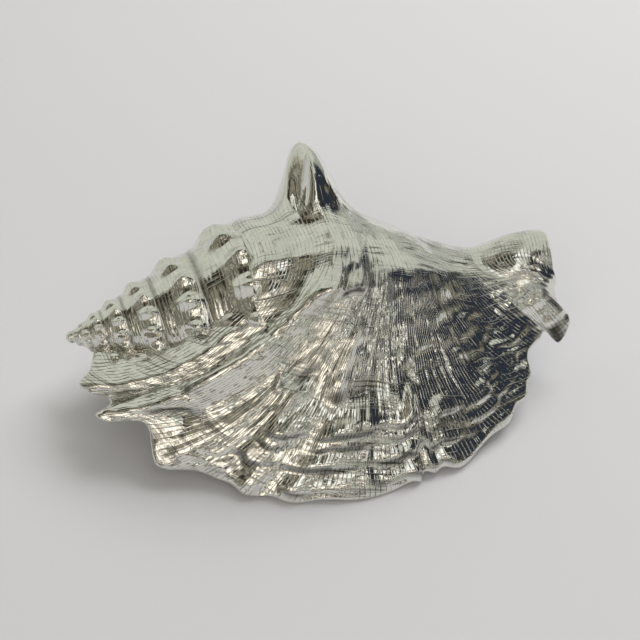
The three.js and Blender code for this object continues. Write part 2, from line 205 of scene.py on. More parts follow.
@dataclass(frozen=True)
class ShellForm:
    """The smooth form of the shell, before its surface relief.

    A place on the last whorl is given by its ray and its stage of growth: 0 inside the mouth, 1
    where the flare starts and 2 at the edge of the lip. On the flare, out is the stage less 1.
    """

    axis_height: float = 23.0  # the apex stands this high above the table
    axis_pitch: float = math.radians(2.8)  # the axis climbs from apex to canal
    whorl_growth: float = 1.48  # the last whorl grows this much in one turn
    suture_growth: float = 1.3  # beside the suture it follows the spire
    spire_growth: float = 1.42  # each spire whorl against the one before
    spire_start: float = 5.0  # the spiral's own origin lies this far beyond the tip
    knobs_per_whorl: int = 17
    knob_row: tuple[float, float] = (0.66, 0.45)  # their place between sutures, in front and behind
    knob_height: float = 0.1  # these two are shares of the radius
    swell_height: float = 0.06  # of the whorl under the knobs
    bulb: float = 2.1  # radius of the smooth bulb at the very tip
    horn_height: float = 18.6
    horn_beyond: float = 1.2  # the horn stands this far past the shoulder
    horn_angle: float = -24.0  # and at this growth angle
    horn_flanks: tuple[float, float] = (12.6, 14.0)  # reach towards the apex and the canal
    horn_spans: tuple[float, float] = (24.0, 27.0)  # reach in degrees, behind and ahead
    hollow_depth: float = 6.4  # of the hollow down the horn's growing side
    hollow_rim: float = 0.8
    lower_knobs: tuple[tuple[float, float], ...] = ((-62, 5), (-98, 4), (-134, 4.2))  # angle, height
    mouth_start: float = -300.0  # growth angle where the wall of the last whorl begins
    pillar_end: float = 134.0  # the pillar fades out at the root of the canal
    rest_trim: float = -0.8  # the shell is cut flat here, where it rests
    scallop: float = 0.8  # how far the wavy edge of the lip swings in and out
    back: float = 35.87  # how far the last whorl reaches behind the axis

    @property
    def last_ray(self) -> int:
        """The number of the last ray."""
        return len(RAYS) - 1

    def in_frame(self, points: Array) -> Array:
        """Turns shape millimetres into the frame's metres, placed on the CAD shell's box."""
        low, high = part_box("shell")
        return points / 1000 + (low.x, high.y - self.back / 1000, low.z - self.rest_trim / 1000)

    def around_axis(self, along: Array, radius: Array, angle: Array) -> Array:
        """A point by its place on the axis.

        Args:
            along: distance from the apex.
            radius: distance from the axis.
            angle: degrees; 0 is the top, 90 the lip side, 180 the belly and -90 the back.

        Returns:
            The points.
        """
        turn = np.radians(angle)
        up = radius * np.cos(turn)
        cos, sin = math.cos(self.axis_pitch), math.sin(self.axis_pitch)
        x = along * cos - up * sin
        z = self.axis_height + along * sin + up * cos
        return np.stack(np.broadcast_arrays(x, -radius * np.sin(turn), z), -1)

    def along(self, ray: Array) -> Array:
        """Where rays cross the body, from the apex."""
        return through(np.array([r.along for r in RAYS], float), ray)

    def turn(self, ray: Array) -> Array:
        """The growth angle where rays leave the body."""
        return through(np.array([r.turn for r in RAYS], float), ray)

    def growth(self, angle: Array) -> Array:
        """How much the spiral has grown at a growth angle, against the top of the whorl."""
        return self.whorl_growth ** (angle / 360)

    def place_along(self, along: Array, angle: Array) -> Array:
        """Where a body point lies on the axis; towards the canal the spiral stops lengthening."""
        return along * mix(self.growth(angle), 1, fade(100, 145, along))

    def wall_radius(self, along: Array, angle: Array) -> Array:
        """Radius of the last whorl's smooth wall.

        Args:
            along: where the growth path crosses the body, from the apex.
            angle: growth angle in degrees.

        Returns:
            The radii.
        """
        beside = self.suture_growth ** (angle / 360)
        body = mix(beside, self.growth(angle), fade(62, 84, along))
        size = mix(body, 1, 0.85 * fade(120, 155, along))
        belly = 1 - 0.07 * bell(angle + 180, 60) * fade(66, 84, along)
        return table_curve(WHORL_PROFILE, along) * size * belly

    def horn(self, along: Array, angle: Array) -> Array:
        """Height of the horn: concave flanks, a rounded tip, a hollow down its growing side.

        Args:
            along: where the growth path crosses the body.
            angle: growth angle in degrees.

        Returns:
            The heights.
        """
        side = along - SHOULDER - self.horn_beyond
        ahead = angle - self.horn_angle
        flank = np.where(side > 0, self.horn_flanks[1], self.horn_flanks[0])
        span = np.where(ahead > 0, self.horn_spans[1], self.horn_spans[0])
        reach = np.hypot(side / flank, ahead / span)
        growing = fade(1.5, 8, ahead) * (1 - fade(15, 22, ahead))
        inside = np.abs(side + 2.4 + 0.2 * ahead) / (2.0 + 1.3 * fade(1, 9, ahead))
        rims = self.hollow_rim * bell(inside - 1.3, 0.3) * fade(4, 10, ahead)
        hollow = (self.hollow_depth * np.exp(-(inside**2.6)) - rims) * growing
        return self.horn_height * np.exp(-((reach / 0.72) ** 2.5)) - hollow

    def earlier_knobs(self, along: Array, angle: Array) -> Array:
        """Height of the lower knobs that the shoulder made before the horn."""
        ridge = bell(along - SHOULDER + 1, 6)
        return sum(height * ridge * bell(angle - at, 11) for at, height in self.lower_knobs)

    def body(self, ray: Array, angle: Array) -> Array:
        """Points of the last whorl round the pillar.

        Args:
            ray: ray numbers.
            angle: growth angles in degrees.

        Returns:
            The points.
        """
        along = self.along(ray)
        relief = self.horn(along, angle) + self.earlier_knobs(along, angle)
        place = self.place_along(along, angle)
        point = self.around_axis(place, self.wall_radius(along, angle) + relief, angle)
        point[..., 2] += 2 * fade(136, 160, place)
        return point

    def flare(self, ray: Array, out: Array) -> Array:
        """Points of the flare.

        Args:
            ray: ray numbers.
            out: 0 where the ray leaves the body and 1 at the lip's edge.

        Returns:
            The points.
        """
        turn = self.turn(ray)
        start = self.body(ray, turn)
        leaving = unit(self.body(ray, turn + 1) - self.body(ray, turn - 1))
        mid = through(np.array([r.mid for r in RAYS], float), ray)
        lip = through(np.array([r.lip for r in RAYS], float), ray)
        first = np.linalg.norm(mid - start, axis=-1, keepdims=True)
        second = np.linalg.norm(lip - mid, axis=-1, keepdims=True)
        inward, outward = (mid - start) / first, (lip - mid) / second
        passing = unit(0.45 * inward + 0.55 * outward)
        ending = unit(1.9 * outward - 0.9 * passing)
        half = first / (first + second)
        t_in = np.clip(out[..., None] / half, 0, 1)
        t_out = np.clip((out[..., None] - half) / (1 - half), 0, 1)
        near = hermite(start, leaving * first * 1.2, mid, passing * first * 1.1, t_in)
        far = hermite(mid, passing * second * 1.1, lip, ending * second, t_out)
        scallop = self.scallop * np.sin(lip_waves(ray)) * fade(0.75, 1, out) * fade(6, 8, ray)
        scallop = scallop * (1 - fade(15, 17, ray))
        return np.where(out[..., None] < half, near, far) + ending * scallop[..., None]

    def angle_at(self, ray: Array, stage: Array) -> Array:
        """The growth angle at a stage of the last whorl; past stage 1 it stays where it is."""
        begin = self.mouth_start + 100 * fade(118, 142, self.along(ray))
        return mix(begin, self.turn(ray), np.minimum(stage, 1))

    def sheet(self, ray: Array, stage: Array) -> Array:
        """Points of the whole last whorl."""
        on_body = self.body(ray, self.angle_at(ray, stage))
        return np.where((stage > 1)[..., None], self.flare(ray, np.clip(stage - 1, 0, 1)), on_body)

    def sheet_normal(self, ray: Array, stage: Array, step: float = 0.01) -> Array:
        """Outward normals of the last whorl, by differences.

        Args:
            ray: ray numbers.
            stage: stages, as for sheet.
            step: half the distance between the points that are compared.

        Returns:
            The unit normals.
        """
        before, after = np.maximum(ray - step, 0), np.minimum(ray + step, self.last_ray)
        early, late = np.maximum(stage - step, 0), np.minimum(stage + step, 2)
        across = self.sheet(after, stage) - self.sheet(before, stage)
        onward = self.sheet(ray, late) - self.sheet(ray, early)
        return unit(np.cross(onward, across))

    def suture_radius(self, along: Array) -> Array:
        """Radius of the spire at its sutures."""
        return 0.93 * np.maximum(along, 0.01) ** 0.851

    def whorl_phase(self, along: Array, angle: Array) -> Array:
        """How many turns the spire has made at a place; whole numbers are sutures."""
        turns = np.log((along + self.spire_start) / 51.3) / math.log(self.spire_growth)
        return turns - (angle - 19) / 360

    def spire_radius(self, along: Array, angle: Array) -> Array:
        """Radius of the knobbed spire.

        Args:
            along: distance from the apex.
            angle: degrees round the axis.

        Returns:
            The radii.
        """
        phase = self.whorl_phase(along, angle)
        part = past_suture(phase)
        knob = 0.5 + 0.5 * np.cos(np.radians((angle - 15) * self.knobs_per_whorl))
        behind = (1 - fade(-14, 12, angle)) * fade(-180, -120, angle)
        peak = mix(*self.knob_row, behind)
        rising = fade(peak - 0.36, peak, part)
        falling = 1 - mix(1.0, 0.75, behind) * fade(peak, 1, part)
        swell = np.where(part < peak, rising, falling) * mix(1.0, 0.8, behind)
        seam = 0.5 * (bell(part, 0.04) + bell(1 - part, 0.04))
        belly = bell(180 - np.abs(angle), 65) * fade(25, 50, along)
        size = self.suture_radius(along) * (1 - 0.07 * belly)
        bumps = self.knob_height * bell(part - peak - 0.02, 0.19) * knob**2
        knobs = (self.swell_height * swell + bumps) * (1 - 0.8 * belly)
        radius = size * (0.97 + knobs - 0.05 * seam)
        radius = np.maximum(radius, self.bulb * (1 - fade(self.bulb, 4, along)))
        round_tip = np.sqrt(np.maximum(self.bulb**2 - (along - self.bulb) ** 2, 0))
        return np.where(along < self.bulb, round_tip, radius)

    def last_suture(self, angle: Array) -> Array:
        """Where the last whorl begins to cover the spire, from the apex."""
        turn = np.where(angle > 60, angle - 360, angle)
        return np.minimum(65.5 * self.spire_growth ** ((turn + 40) / 360) - self.spire_start, 64)

    def wall_radius_at(self, place: Array, angle: Array) -> Array:
        """Radius of the last whorl's outside.

        Args:
            place: distance from the apex.
            angle: growth angle in degrees.

        Returns:
            The radii.
        """
        along = place * np.ones_like(angle)
        for _ in range(8):
            along = along * place / self.place_along(along, angle)
        return self.wall_radius(along, angle) + self.earlier_knobs(along, angle)

    def pillar_radius(self, place: Array, angle: Array) -> Array:
        """Radius of the pillar: it fills the whorl behind and below, and is slim in the mouth.

        Args:
            place: distance from the apex.
            angle: degrees round the axis.

        Returns:
            The radii.
        """
        turn = np.where(angle < 0, angle, angle - 360)
        full = self.wall_radius_at(place, turn) - 1.2
        slim = 0.72 * self.wall_radius_at(place, np.full_like(angle, self.mouth_start))
        hollow = fade(-80, -50, angle) * (1 - fade(30, 52, angle))
        filled = mix(full, np.minimum(slim, full), hollow)
        return filled * (1 - fade(104, self.pillar_end, place))

    def core_radius(self, place: Array, angle: Array) -> Array:
        """Radius of the spire where it shows, and of the pillar under the last whorl.

        Args:
            place: distance from the apex.
            angle: degrees round the axis.

        Returns:
            The radii.
        """
        covered = fade(0, 3, place - self.last_suture(angle))
        shown = self.spire_radius(np.where(covered > 0, np.minimum(place, 66), place), angle)
        pillar = self.pillar_radius(np.maximum(place, 50), angle)
        return np.where(covered > 0, mix(shown, pillar, covered), shown)


# ---- Relief of the flare ----
@dataclass(frozen=True)
class Crest:
    """A ridge that runs along the shell's growth lines, across the rays.

    Fields: line gives (ray, out) points of its top, where out is negative on the body; height,
    before and after are its height and half widths in millimetres.
    """

    line: tuple[tuple[float, float], ...]
    height: float
    before: float
    after: float

    def relief(self, ray: Array, grown: Array, length: Array) -> Array:
        """Height above the smooth form.

        Args:
            ray: ray numbers.
            grown: millimetres of growth.
            length: length of the flare on each ray.

        Returns:
            The heights in millimetres.
        """
        out = table_curve(self.line, ray)
        past = grown - np.where(out > 0, out * length, out * BODY_LENGTH)
        width = np.where(past < 0, self.before, self.after)
        start, end = self.line[0][0], self.line[-1][0]
        strength = fade(start - 0.5, start + 0.5, ray) * (1 - fade(end - 0.5, end + 0.7, ray))
        return self.height * strength * np.exp(-np.hypot(past / width, 0.25) + 0.25)


@dataclass(frozen=True)
class Terraces:
    """Flats and risers that run along the lip, where growth paused.

    Fields: profile gives (out, height) points across the flare; shift moves the profile with the
    ray; strength gives (ray, share) points of how strong it is.
    """

    profile: tuple[tuple[float, float], ...] = (
        (0.53, 0), (0.6, -0.9), (0.738, 2.5), (0.76, 1.1), (0.782, 1.5), (0.805, 0.2),
        (0.862, 1.3), (0.885, -0.5), (0.95, 0.9), (0.98, 0.1), (1, 0),
    )
    shift: tuple[tuple[float, float], ...] = (
        (6, 0.02), (7.5, 0), (9, 0.003), (10, 0.01), (11.2, -0.01), (12, -0.03), (14, -0.06),
    )
    rim_wave: float = 0.8
    strength: tuple[tuple[float, float], ...] = (
        (6.4, 0), (7.4, 0.8), (8.4, 1), (10.2, 1), (11.2, 0.75), (12.5, 0.45), (14.5, 0.1), (15.5, 0),
    )

    def relief(self, ray: Array, out: Array) -> Array:
        """Height above the smooth form.

        Args:
            ray: ray numbers.
            out: places on the flare.

        Returns:
            The heights in millimetres.
        """
        wander = 0.012 * np.sin(3.1 * ray + 2 * np.sin(1.7 * ray))
        wander = (wander + 0.006 * np.sin(8.3 * ray + 20 * out)) * fade(1, 0.9, out)
        place = np.minimum(out + table_curve(self.shift, ray) * bell(out - 0.6, 0.3) + wander, 1)
        waves = self.rim_wave * np.sin(lip_waves(ray) + 1) * bell(out - 0.94, 0.05)
        uneven = 0.75 + 0.45 * np.sin(4.3 * ray + 9 * out)
        return table_curve(self.strength, ray) * (table_curve(self.profile, place) * uneven + waves)


@dataclass(frozen=True)
class Fold:
    """A ridge that runs out across the flare.

    Fields: line gives (out, ray) points of its crest; height is in millimetres; left and right
    are its half widths in rays; it fades in and out at the ends of the line.
    """

    line: tuple[tuple[float, float], ...]
    height: float
    left: float
    right: float

    def relief(self, ray: Array, out: Array) -> Array:
        """Height above the smooth form.

        Args:
            ray: ray numbers.
            out: places on the flare.

        Returns:
            The heights in millimetres.
        """
        aside = ray - table_curve(self.line, out)
        width = np.where(aside < 0, self.left, self.right)
        start, end = self.line[0][0], self.line[-1][0]
        strength = fade(start - 0.04, start + 0.04, out)
        if end < 0.99:
            strength = strength * (1 - fade(end - 0.03, end + 0.04, out))
        return self.height * strength * np.exp(-np.abs(aside / width) ** 1.4)


@dataclass(frozen=True)
class Dent:
    """A shallow hollow in the flare, or a low boss where its depth is negative."""

    ray: float
    out: float
    rays: float
    outs: float
    depth: float

    def relief(self, ray: Array, out: Array) -> Array:
        """Height above the smooth form, in millimetres."""
        return -self.depth * bell(ray - self.ray, self.rays) * bell(out - self.out, self.outs)


@dataclass(frozen=True)
class FlareRelief:
    """Everything that stands out from the smooth flare and body of the last whorl."""

    cord_height: float = 0.04
    rib_height: float = 0.22
    rib_seed: int = 11
    rib_gaps: tuple[float, float] = (2.2, 4.6)  # cords from one rib to the next
    last_rib: float = 260.0  # no ribs past this cord number
    swell_height: float = 0.12
    swell_seed: int = 5
    swell_waves: int = 9
    swell_lengths: tuple[float, float] = (2.8, 9.0)
    ripple_height: float = 0.17
    ripple_seed: int = 7
    ripple_waves: int = 16
    ripple_lengths: tuple[float, float] = (5.0, 15.0)
    terraces: Terraces = Terraces()
    crests: tuple[Crest, ...] = (
        Crest(((4.3, 0.207), (6, 0.207), (8, 0.212)), 2.4, 7, 1.3),  # ledge beside the knob
        # Keel towards the canal.
        Crest(((9.2, 0.165), (11, 0.155), (13.4, 0.156), (15.6, 0.137), (17, 0.06)), 1.6, 6, 8),
        # Low ridges above and below the roots of the first lobes.
        Crest(((1.1, -0.026), (2, -0.038), (2.6, -0.049), (3.3, -0.052), (4.1, -0.056)), 1.3, 3, 2.4),
        Crest(((0.9, 0.087), (1.8, 0.063), (2.8, 0.067)), 1.1, 2.6, 2.6),
    )
    folds: tuple[Fold, ...] = (
        Fold(((0.35, 2), (0.7, 2), (1, 2)), 1.2, 0.45, 0.45),
        Fold(((0.42, 4), (0.6, 3.8), (0.7, 3.35), (0.8, 3.2), (0.9, 3.5), (1, 4)), 1.8, 0.35, 0.5),
        Fold(((0.45, 6), (0.75, 5.8), (1, 6)), 1.1, 0.5, 0.5),
        Fold(((0.5, 5.2), (0.6, 7), (0.68, 7.2), (0.8, 7.4), (1, 7.8)), 1.5, 0.5, 0.5),
        Fold(((0.34, 8.5), (0.48, 8.6), (0.6, 8.65)), 2.2, 0.7, 0.25),
        Fold(((0.58, 10.4), (0.7, 10.6), (0.84, 10.9)), 0.7, 0.6, 0.4),
        Fold(((0.42, 14), (0.5, 14.1), (0.62, 14.3)), 1.0, 0.5, 0.4),
    )
    knob: tuple[Dent, ...] = (
        Dent(4.4, 0.215, 0.6, 0.055, -4.2),
        Dent(4.25, 0.21, 0.3, 0.022, -1.1),  # its point
    )
    dents: tuple[Dent, ...] = (
        Dent(6.9, 0.52, 0.8, 0.045, 1.6),
        Dent(4.7, 0.84, 0.5, 0.05, 1.8),
        Dent(3.8, 0.7, 0.25, 0.02, 1.0),
    )

    def broad(self, ray: Array, grown: Array, length: Array) -> Array:
        """The relief that also shows on the inside of the lip.

        Args:
            ray: ray numbers.
            grown: millimetres of growth.
            length: length of the flare on each ray, in millimetres.

        Returns:
            The heights in millimetres.
        """
        out = np.maximum(grown / length, 0)
        total = sum(boss.relief(ray, out) for boss in self.knob)
        total = total + sum(fold.relief(ray, out) for fold in self.folds)
        total = total + sum(dent.relief(ray, out) for dent in self.dents)
        total = (total + self.terraces.relief(ray, out)) * fade(0, 0.1, out)
        return total + sum(crest.relief(ray, grown, length) for crest in self.crests)

    def ripple(self, points: Array) -> Array:
        """Irregular waves of the hand-polished surface, from a fixed set of sine waves.

        Args:
            points: points of the smooth form.

        Returns:
            The heights, about -1 to 1.
        """
        draw = np.random.default_rng(self.ripple_seed)
        total = np.zeros(points.shape[:-1])
        for _ in range(self.ripple_waves):
            way = unit(draw.normal(size=3)) * 2 * np.pi / draw.uniform(*self.ripple_lengths)
            total += np.sin(points @ way + draw.uniform(0, 2 * np.pi))
        return total / math.sqrt(self.ripple_waves)

    def ribs(self, cord: Array) -> Array:
        """Coarse ribs of uneven height, one for every few cords.

        Args:
            cord: cord numbers.

        Returns:
            The heights, about 0 to 1.4.
        """
        draw = np.random.default_rng(self.rib_seed)
        total = np.zeros_like(cord)
        at = 2.0
        while at < self.last_rib:
            total += draw.uniform(0.2, 1.4) * bell(cord - at, draw.uniform(0.7, 1.4))
            at += draw.uniform(*self.rib_gaps)
        return total

    def swells(self, cord: Array, grown: Array) -> Array:
        """Low waves along the growth lines, broken up across the cords.

        Args:
            cord: cord numbers.
            grown: millimetres of growth.

        Returns:
            The heights, about -1 to 1.
        """
        draw = np.random.default_rng(self.swell_seed)
        total = np.zeros_like(cord)
        for _ in range(self.swell_waves):
            length, across = draw.uniform(*self.swell_lengths), draw.uniform(9, 40)
            total += np.sin(2 * np.pi * (grown / length + cord / across) + draw.uniform(0, 6.3))
        return total / math.sqrt(self.swell_waves)

    def fine(self, cord: Array, grown: Array, points: Array, out: Array) -> Array:
        """Cords, ribs, swells and ripples.

        Args:
            cord: cord numbers.
            grown: millimetres of growth.
            points: points of the smooth form.
            out: places on the flare, negative on the body.

        Returns:
            The heights in millimetres.
        """
        on_flare = fade(0.12, 0.4, out)
        cords = self.cord_height * np.cos(2 * np.pi * cord) * on_flare
        ribs = self.rib_height * self.ribs(cord) * fade(0.22, 0.6, out)
        swells = self.swell_height * self.swells(cord, grown) * mix(0.35, 1, on_flare)
        return cords + ribs + swells + self.ripple_height * self.ripple(points)


# ---- Meshes ----
class Coordinates(Enum):
    """The corner coordinates that the finish reads."""

    BAKE = "OFBake"  # the unwrapped layout
    CORDS = "Cords"  # cord number, and millimetres of growth
    TARNISH_SHADE_CORDS = "TarnishShadeCords"  # how dark, from tarnish in hollows and painted shade under the arch and the ledge, and how strongly the cords stand out
    BODY = "Body"  # millimetres along the axis, and how far the lip's cords have taken over


class Patch:
    """Points, triangles and corner coordinates of a closed surface while it is being built."""

    def __init__(self) -> None:
        """Starts an empty patch."""
        self.points: list[Array] = []
        self.marks: dict[Coordinates, list[Array]] = {which: [] for which in Coordinates}
        self.faces: list[Array] = []
        self.count = 0

    def add(self, points: Array, pairs: dict[Coordinates, tuple]) -> Array:
        """Adds a grid of points.

        Args:
            points: the grid, ending in x, y, z.
            pairs: the two numbers or grids of each coordinate set.

        Returns:
            The grid of point numbers.
        """
        shape = points.shape[:-1]
        ids = self.count + np.arange(np.prod(shape)).reshape(shape)
        self.points.append(points.reshape(-1, 3))
        for which, pair in pairs.items():
            both = [np.broadcast_to(part, shape).ravel() for part in pair]
            self.marks[which].append(np.stack(both, -1))
        self.count += ids.size
        return ids

    def skin(self, ids: Array) -> None:
        """Covers a grid of point numbers with triangles."""
        a, b, c, d = ids[:-1, :-1], ids[1:, :-1], ids[1:, 1:], ids[:-1, 1:]
        self.faces.extend(np.stack(three, -1).reshape(-1, 3) for three in ((a, b, c), (a, c, d)))

    def fan(self, tip: int, edge: Array) -> None:
        """Covers the space between a point and a line of points with triangles."""
        tips = np.full(len(edge) - 1, tip)
        self.faces.append(np.stack([tips, edge[:-1], edge[1:]], -1))

    def ladder(self, left: Array, right: Array) -> None:
        """Covers the gap between two lines of points, which may differ in number.

        Args:
            left: point numbers of one side.
            right: point numbers of the other side, in the same direction.
        """
        i = j = 0
        faces = []
        while i < len(left) - 1 or j < len(right) - 1:
            ahead_left = (i + 1) / max(len(left) - 1, 1)
            ahead_right = (j + 1) / max(len(right) - 1, 1)
            if j == len(right) - 1 or (i < len(left) - 1 and ahead_left <= ahead_right):
                faces.append((left[i], left[i + 1], right[j]))
                i += 1
            else:
                faces.append((left[i], right[j + 1], right[j]))
                j += 1
        self.faces.append(np.array(faces))

    def to_object(self, name: str, form: ShellForm) -> bpy.types.Object:
        """Makes a mesh object, with its faces turned outwards.

        Args:
            name: the object's name.
            form: the shell's form, which places the points in the frame.

        Returns:
            The new object.
        """
        points = form.in_frame(np.concatenate(self.points))
        faces = np.concatenate(self.faces)
        corners = points[faces]
        volume = np.einsum("ij,ij->i", corners[:, 0], np.cross(corners[:, 1], corners[:, 2])).sum()
        if volume < 0:
            faces = faces[:, ::-1]
        mesh = bpy.data.meshes.new(name)
        mesh.vertices.add(len(points))
        mesh.vertices.foreach_set("co", points.astype(np.float32).ravel())
        mesh.loops.add(faces.size)
        mesh.loops.foreach_set("vertex_index", faces.astype(np.int32).ravel())
        mesh.polygons.add(len(faces))
        mesh.polygons.foreach_set("loop_start", np.arange(0, faces.size, 3, dtype=np.int32))
        mesh.polygons.foreach_set("use_smooth", np.ones(len(faces), bool))
        mesh.update(calc_edges=True)
        for which, grids in self.marks.items():
            layer = mesh.uv_layers.new(name=which.value)
            pairs = np.concatenate(grids)[faces.ravel()]
            layer.data.foreach_set("uv", pairs.astype(np.float32).ravel())
        return linked(bpy.data.objects.new(name, mesh))


def linked(piece: bpy.types.Object) -> bpy.types.Object:
    """Puts an object in the scene and returns it."""
    bpy.context.scene.collection.objects.link(piece)
    return piece


@dataclass
class LastWhorl:
    """The sheet of the last whorl, from inside the mouth to the edge of the lip."""

    form: ShellForm
    relief: FlareRelief = field(default_factory=FlareRelief)
    wall: float = 3.2  # thickness of the wall
    lip_wall: float = 2.4  # thickness at the edge of the lip
    cord_pitch: float = 1.4  # distance between cords near the lip
    hidden_rows: int = 12
    body_rows: int = 50
    flare_rows: int = 82
    inner_rows: int = 30
    rim_rows: int = 4
    even_stage: float = 1.85  # the cords are evenly spaced at this stage of growth
    hidden_stage: float = 0.36  # up to here the pillar and the spire hide the outside
    inner_relief: float = 0.75  # how much of the broad relief the inside shows
    horn_cords: float = 0.12  # how strongly the cords stand out on the polished horn
    # Left, bottom, width and height of each grid's space in the unwrapped layout.
    outer_space: tuple[float, ...] = (0.005, 0.33, 0.99, 0.66)
    inner_space: tuple[float, ...] = (0.005, 0.005, 0.49, 0.3)
    rim_space: tuple[float, ...] = (0.005, 0.9932, 0.99, 0.0036)
    patch: Patch = field(default_factory=Patch)

    def __post_init__(self) -> None:
        """Spaces the columns so that each cord has a crest and a groove."""
        fine = np.linspace(0, self.form.last_ray, 4001)
        line = self.form.sheet(fine, np.full_like(fine, self.even_stage))
        run = np.concatenate([[0], np.cumsum(np.linalg.norm(np.diff(line, axis=0), axis=-1))])
        cords = round(run[-1] / self.cord_pitch)
        self.cords = np.linspace(0, cords, 2 * cords + 1)
        spread = run * cords * self.cord_pitch / run[-1]
        self.rays = np.interp(self.cords * self.cord_pitch, spread, fine)
        self.length = self.flare_length()

    def flare_length(self) -> Array:
        """Length of the flare along each column."""
        path = self.form.flare(*np.meshgrid(self.rays, np.linspace(0, 1, 24)))
        return np.linalg.norm(np.diff(path, axis=0), axis=-1).sum(0)

    def stages(self) -> Array:
        """The rows of the outside: few where it is hidden, many on the flare.

        Returns:
            Their stages.
        """
        hidden = np.linspace(0, self.hidden_stage, self.hidden_rows, endpoint=False)
        body = np.linspace(self.hidden_stage, 1, self.body_rows, endpoint=False)
        return np.concatenate([hidden, body, np.linspace(1, 2, self.flare_rows)])

    def short_of_rim(self, stage: Array) -> Array:
        """Draws the stages of the flare in, to leave room for the rounded rim."""
        return np.where(stage > 1, 1 + (stage - 1) * (1 - 0.5 * self.lip_wall / self.length), stage)

    def grown(self, stage: Array) -> Array:
        """Millimetres of growth, counted from where the flare starts."""
        return np.where(stage > 1, (stage - 1) * self.length, (stage - 1) * BODY_LENGTH)

    def build(self) -> bpy.types.Object:
        """Builds the closed sheet.

        Returns:
            The mesh object.
        """
        outer = self.outer_grid()
        inner = self.inner_grid()
        outside = np.concatenate([outer, self.rim_grid()])
        self.patch.skin(outside)
        self.patch.skin(inner[::-1])
        self.patch.ladder(inner[-1], outside[-1])
        self.patch.ladder(outer[0], inner[0])
        self.patch.ladder(inner[:, 0], outside[:, 0])
        self.patch.ladder(outside[:, -1], inner[:, -1])
        return self.patch.to_object("LastWhorl", self.form)

    def add_grid(
        self,
        points: Array,
        ray: Array,
        grown: Array,
        wear: tuple[Array | float, Array | float],
        lip: Array | float,
        space: tuple[float, ...],
    ) -> Array:
        """Adds a grid of the sheet, with its corner coordinates.

        Args:
            points: the grid's points.
            ray: their ray numbers.
            grown: their millimetres of growth.
            wear: how dark they are, from tarnish and from painted shade, and how strongly the cords
                stand out.
            lip: how far the lip's cords have taken over.
            space: left, bottom, width and height of the grid's space in the unwrapped layout.

        Returns:
            The grid of point numbers.
        """
        left, bottom, width, height = space
        column, row = np.linspace(0, 1, ray.shape[1]), np.linspace(0, 1, ray.shape[0])[:, None]
        pairs = {
            Coordinates.BAKE: (left + width * column, bottom + height * row),
            Coordinates.CORDS: (self.cords, grown),
            Coordinates.TARNISH_SHADE_CORDS: wear,
            Coordinates.BODY: (self.form.along(ray), lip),
        }
        return self.patch.add(points, pairs)

    def outer_grid(self) -> Array:
        """Adds the outside of the sheet.

        Returns:
            The grid of point numbers.
        """
        ray, stage = np.meshgrid(self.rays, self.stages())
        stage = self.short_of_rim(stage)
        out, grown = stage - 1, self.grown(stage)
        broad = self.relief.broad(ray, grown, self.length)
        smooth = self.form.sheet(ray, stage)
        cord = np.broadcast_to(self.cords, ray.shape)
        height = broad + self.relief.fine(cord, grown, smooth, out)
        points = smooth + self.form.sheet_normal(ray, stage) * height[..., None]
        horn = self.form.horn(self.form.along(ray), self.form.angle_at(ray, stage))
        strength = mix(1.0, self.horn_cords, fade(0.04, 0.25, horn / self.form.horn_height))
        # the first share is tarnish plus painted shade under the arch and under the ledge
        wear = (self.hollows_and_painted_shade(ray, out, broad, grown), strength)
        return self.add_grid(points, ray, grown, wear, fade(0.02, 0.3, out), self.outer_space)

    def hollows_and_painted_shade(self, ray: Array, out: Array, broad: Array, grown: Array) -> Array:
        """Where the silver is darkened: tarnish in low places, darker on the risers of the terraces, and
        painted shade under the arch and under the ledge beside the knob.

        Args:
            ray: ray numbers.
            out: places on the flare, negative on the body.
            broad: the broad relief there, in millimetres.
            grown: millimetres of growth.

        Returns:
            The shares; above 1 the darkening is full.
        """
        # painted shade: the underside of the arched notch is darkened as if in shadow
        painted_shade_under_arch = bell(ray - 17.1, 0.5) * fade(0.8, 0.86, out)
        # painted shade: a dark strip just under the ledge beside the knob
        painted_shade_under_ledge = bell(out - 0.219, 0.008) * fade(5.6, 6.2, ray) * (1 - fade(7.9, 8.3, ray))
        falling = -np.gradient(broad, axis=0) / np.gradient(grown, axis=0)
        riser = fade(0.1, 0.4, falling) * fade(0.45, 0.6, out) * (1 - fade(0.96, 0.99, out))
        low = fade(-0.2, -1.2, broad)
        return np.maximum.reduce([low, 1.6 * painted_shade_under_arch, 1.6 * painted_shade_under_ledge, 1.3 * riser])

    def inner_grid(self) -> Array:
        """Adds the inside of the sheet.

        Returns:
            The grid of point numbers.
        """
        half = self.inner_rows // 2
        stages = np.concatenate([np.linspace(0, 1, half, endpoint=False), np.linspace(1, 2, half)])
        ray, stage = np.meshgrid(self.rays, stages)
        wall = mix(self.wall, self.lip_wall, fade(1.6, 2, stage))
        stage = self.short_of_rim(stage)
        grown = self.grown(stage)
        height = self.inner_relief * self.relief.broad(ray, grown, self.length) - wall
        points = self.form.sheet(ray, stage) + self.form.sheet_normal(ray, stage) * height[..., None]
        return self.add_grid(points, ray, grown, (0.0, 0.15), 1.0, self.inner_space)

    def rim_grid(self) -> Array:
        """Adds the rounded rim.

        Returns:
            The grid of point numbers.
        """
        ray, turn = np.meshgrid(self.rays, np.linspace(0, np.pi, self.rim_rows + 2)[1:-1])
        stage = 2 - 0.5 * self.lip_wall / self.length
        broad = self.relief.broad(self.rays, self.grown(stage), self.length)
        normal = self.form.sheet_normal(self.rays, stage)
        edge = self.form.sheet(self.rays, stage)
        outward = unit(edge - self.form.sheet(self.rays, stage - 0.02))
        half = 0.5 * (self.lip_wall + 0.25 * broad)[:, None]
        centre = edge + normal * (broad[:, None] - half)
        points = centre + half * (np.sin(turn)[..., None] * outward + np.cos(turn)[..., None] * normal)
        return self.add_grid(points, ray, self.length + turn, (0.0, 0.3), 1.0, self.rim_space)


